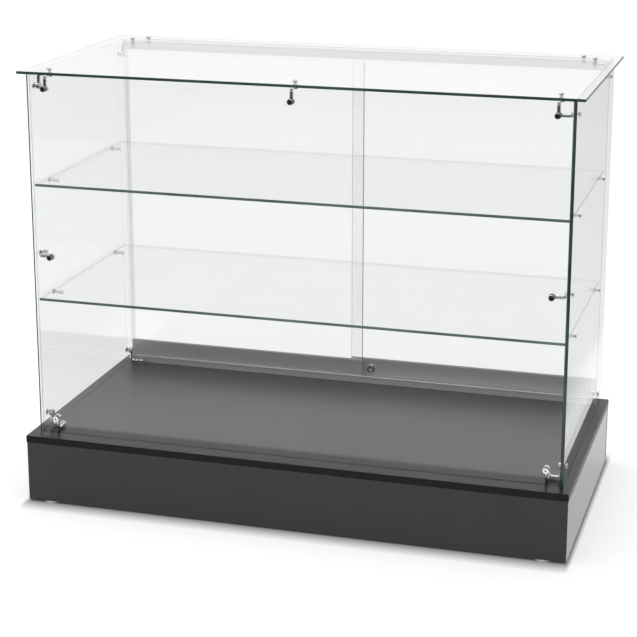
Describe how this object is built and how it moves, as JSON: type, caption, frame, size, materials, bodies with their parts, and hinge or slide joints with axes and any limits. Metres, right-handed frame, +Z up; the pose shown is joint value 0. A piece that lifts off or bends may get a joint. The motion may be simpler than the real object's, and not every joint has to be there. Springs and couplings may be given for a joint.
{
  "type": "glass display case",
  "caption": "Frameless glass showcase on a low black plinth, with glass shelves, bent rod connectors and rolling glass doors with a push lock at the back.",
  "frame": {"origin": "on the floor, under the middle of the plinth", "axes": "+X to the right seen from the front, +Y towards the sliding doors at the rear, +Z up"},
  "size_m": [1.219, 0.61, 0.976],
  "materials": {
    "black_laminate": "satin",
    "raw_wood": "raw",
    "white_plastic": "matte",
    "nylon": "satin",
    "steel": "satin",
    "glass": "clear",
    "chrome": "polished",
    "clear_plastic": "clear",
    "aluminium": "satin anodised"
  },
  "bodies": {
    "case": {"deck_panel": "black_laminate", "front_panel": "black_laminate", "rear_panel": "black_laminate", "left_panel": "black_laminate", "right_panel": "black_laminate", "deck_stretcher": "raw_wood", "corner_blocks": "raw_wood", "panel_dowels": "raw_wood", "floor_glides": "white_plastic", "top_track": "white_plastic", "glide_screws": "steel", "front_glass": "glass", "left_glass": "glass", "right_glass": "glass", "top_glass": "glass", "lower_shelf": "glass", "upper_shelf": "glass", "connector_top_front_left": "chrome", "connector_top_front_centre": "chrome", "connector_top_front_right": "chrome", "connector_middle_left": "chrome", "connector_middle_right": "chrome", "connector_bottom_front_left": "chrome", "connector_bottom_front_right": "chrome", "connector_top_rear_left": "chrome", "connector_top_rear_right": "chrome", "connector_bottom_rear_left": "chrome", "connector_bottom_rear_right": "chrome", "front_glass_screws": "chrome", "left_glass_screws": "chrome", "right_glass_screws": "chrome", "top_glass_screws": "chrome", "deck_screws": "chrome", "shelf_studs": "chrome", "shelf_screws": "chrome", "track_screws": "chrome", "connector_washers": "clear_plastic", "shelf_sleeves": "clear_plastic", "left_jamb_strip": "clear_plastic", "right_jamb_strip": "clear_plastic", "bottom_track": "aluminium"},
    "left_door": {"left_door_glass": "glass", "left_door_shoe": "aluminium", "left_door_axles": "steel"},
    "right_door": {"right_door_glass": "glass", "right_door_shoe": "aluminium", "right_door_axles": "steel", "lock_barrel": "chrome", "lock_nut": "chrome"},
    "lock_plunger": {"lock_plunger": "chrome"},
    "lock_key_plug": {"lock_key_plug": "chrome"},
    "left_door_left_roller": {"left_door_left_roller": "nylon"},
    "left_door_right_roller": {"left_door_right_roller": "nylon"},
    "right_door_left_roller": {"right_door_left_roller": "nylon"},
    "right_door_right_roller": {"right_door_right_roller": "nylon"}
  },
  "joints": [
    {"name": "left_door_slide", "type": "slide", "parent": "case", "child": "left_door", "axis": [1, 0, 0], "range_m": [0, 0.567]},
    {"name": "right_door_slide", "type": "slide", "parent": "case", "child": "right_door", "axis": [-1, 0, 0], "range_m": [0, 0.567]},
    {"name": "lock_push", "type": "slide", "parent": "right_door", "child": "lock_plunger", "axis": [0, -1, 0], "range_m": [0, 0.0055], "stiffness_N_per_m": 150},
    {"name": "key_turn", "type": "hinge", "parent": "lock_plunger", "child": "lock_key_plug", "pos_m": [0.035, 0.3, 0.187], "axis": [0, -1, 0], "range_deg": [0, 90]},
    {"name": "left_door_left_roller_spin", "type": "hinge", "parent": "left_door", "child": "left_door_left_roller", "pos_m": [-0.513, 0.267, 0.1658], "axis": [0, 1, 0], "range_deg": [0, 4650]},
    {"name": "left_door_right_roller_spin", "type": "hinge", "parent": "left_door", "child": "left_door_right_roller", "pos_m": [-0.054, 0.267, 0.1658], "axis": [0, 1, 0], "range_deg": [0, 4650]},
    {"name": "right_door_left_roller_spin", "type": "hinge", "parent": "right_door", "child": "right_door_left_roller", "pos_m": [0.054, 0.283, 0.1658], "axis": [0, -1, 0], "range_deg": [0, 4650]},
    {"name": "right_door_right_roller_spin", "type": "hinge", "parent": "right_door", "child": "right_door_right_roller", "pos_m": [0.513, 0.283, 0.1658], "axis": [0, -1, 0], "range_deg": [0, 4650]}
  ],
  "couplings": [
    {"joint": "left_door_left_roller_spin", "follows": "left_door_slide", "rad_per_m": 142.86},
    {"joint": "left_door_right_roller_spin", "follows": "left_door_slide", "rad_per_m": 142.86},
    {"joint": "right_door_left_roller_spin", "follows": "right_door_slide", "rad_per_m": 142.86},
    {"joint": "right_door_right_roller_spin", "follows": "right_door_slide", "rad_per_m": 142.86}
  ]
}
